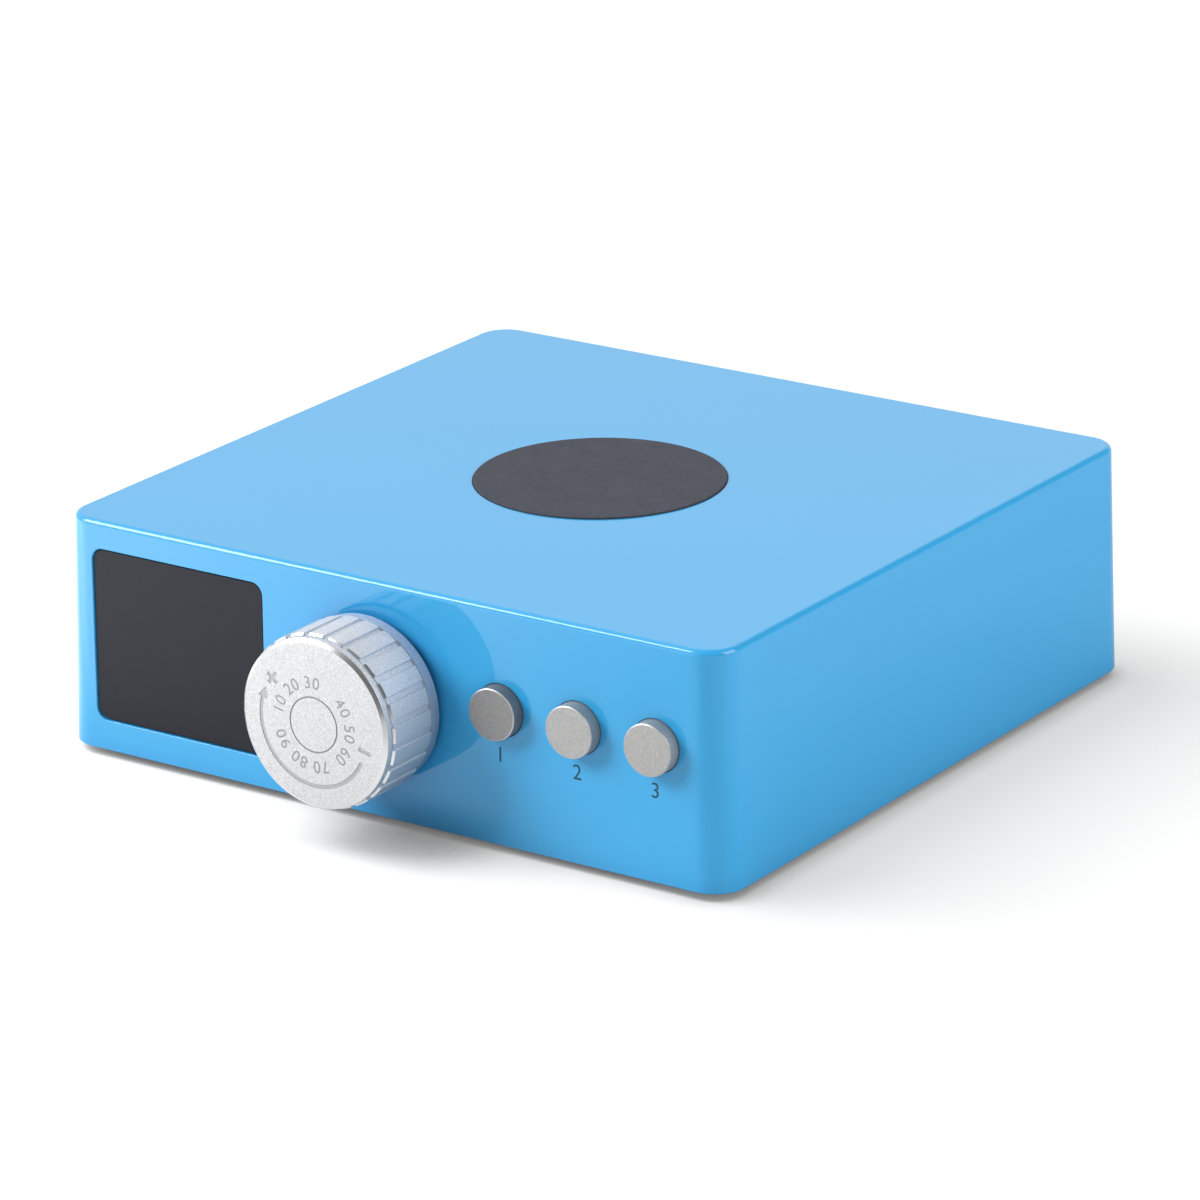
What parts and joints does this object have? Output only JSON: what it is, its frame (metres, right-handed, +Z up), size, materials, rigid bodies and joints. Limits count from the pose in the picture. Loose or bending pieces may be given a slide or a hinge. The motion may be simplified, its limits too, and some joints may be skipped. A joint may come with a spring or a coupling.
{
  "type": "dental micromotor control unit",
  "caption": "Table-top control unit of a dental micromotor: drafted box with a dark display window, a knurled speed knob, push buttons, a round top pad and rear sockets.",
  "frame": {"origin": "on the table under the middle of the unit's bounding box, feet on Z = 0", "axes": "+Z up, -Y towards the user (front panel with display, knob and buttons), +X to the user's right"},
  "size_m": [0.18, 0.1988, 0.0569],
  "materials": {
    "housing_blue": "high-gloss moulded",
    "base_grey": "fine texture",
    "foot_rubber": "matte",
    "pad_grey": "matte",
    "window_dark": "satin",
    "display_glass": "gloss",
    "knob_aluminium": "bead-blasted and anodised",
    "button_metal": "satin",
    "screw_steel": "plated",
    "socket_nickel": "nickel plated",
    "contact_brass": "plated",
    "board_green": "solder mask",
    "black_plastic": "moulded",
    "cream_plastic": "moulded",
    "sleeve_dark_blue": "shrink sleeve",
    "ribbon_grey": "satin",
    "lead_black": "satin"
  },
  "bodies": {
    "case": {"upper_housing": "housing_blue", "base_plate": "base_grey", "foot_front_left": "foot_rubber", "foot_rear_left": "foot_rubber", "foot_front_right": "foot_rubber", "foot_rear_right": "foot_rubber", "base_screw_front_left": "screw_steel", "base_screw_rear_left": "screw_steel", "base_screw_front_right": "screw_steel", "base_screw_rear_right": "screw_steel", "top_pad": "pad_grey", "display_window": "window_dark", "display_frame": "socket_nickel", "display_panel": "display_glass", "front_board": "board_green", "board_screw_1": "screw_steel", "board_screw_2": "screw_steel", "board_screw_3": "screw_steel", "board_screw_4": "screw_steel", "encoder_body": "black_plastic", "encoder_washer": "socket_nickel", "encoder_nut": "socket_nickel", "direction_switch": "black_plastic", "set_switch": "black_plastic", "memory_switch": "black_plastic", "main_board": "board_green", "heat_sink": "knob_aluminium", "bridge_module_1": "black_plastic", "bridge_module_2": "black_plastic", "bridge_module_3": "black_plastic", "capacitor_1": "sleeve_dark_blue", "capacitor_2": "sleeve_dark_blue", "buzzer": "black_plastic", "controller_chip": "black_plastic", "front_header": "cream_plastic", "main_header": "cream_plastic", "ribbon_cable": "ribbon_grey", "motor_socket_shell": "socket_nickel", "motor_socket_insert": "black_plastic", "motor_socket_nut": "socket_nickel", "pedal_socket": "black_plastic", "pedal_socket_nut": "socket_nickel", "power_inlet": "black_plastic", "power_inlet_pin": "contact_brass", "power_inlet_nut": "socket_nickel", "power_switch_frame": "black_plastic", "motor_lead": "lead_black", "pedal_lead": "lead_black", "power_lead": "lead_black", "switch_lead": "lead_black"},
    "knob": {"control_knob": "knob_aluminium", "knob_insert": "black_plastic", "encoder_shaft": "socket_nickel"},
    "direction_key": {"direction_button": "button_metal", "direction_switch_plunger": "cream_plastic"},
    "set_key": {"set_button": "button_metal", "set_switch_plunger": "cream_plastic"},
    "memory_key": {"memory_button": "button_metal", "memory_switch_plunger": "cream_plastic"},
    "rocker": {"power_rocker": "black_plastic"}
  },
  "joints": [
    {"name": "knob_turn", "type": "hinge", "parent": "case", "child": "knob", "pos_m": [-0.00289, -0.07858, 0.0295], "axis": [0, 1, 0], "continuous": true},
    {"name": "direction_press", "type": "slide", "parent": "case", "child": "direction_key", "axis": [0, 1, 0], "range_m": [0, 0.0005], "stiffness_N_per_m": 1200, "springref_m": -0.0005},
    {"name": "set_press", "type": "slide", "parent": "case", "child": "set_key", "axis": [0, 1, 0], "range_m": [0, 0.0005], "stiffness_N_per_m": 1200, "springref_m": -0.0005},
    {"name": "memory_press", "type": "slide", "parent": "case", "child": "memory_key", "axis": [0, 1, 0], "range_m": [0, 0.0005], "stiffness_N_per_m": 1200, "springref_m": -0.0005},
    {"name": "rocker_tip", "type": "hinge", "parent": "case", "child": "rocker", "pos_m": [0.06, 0.09448, 0.0298], "axis": [1, 0, 0], "range_deg": [0, 20]}
  ]
}
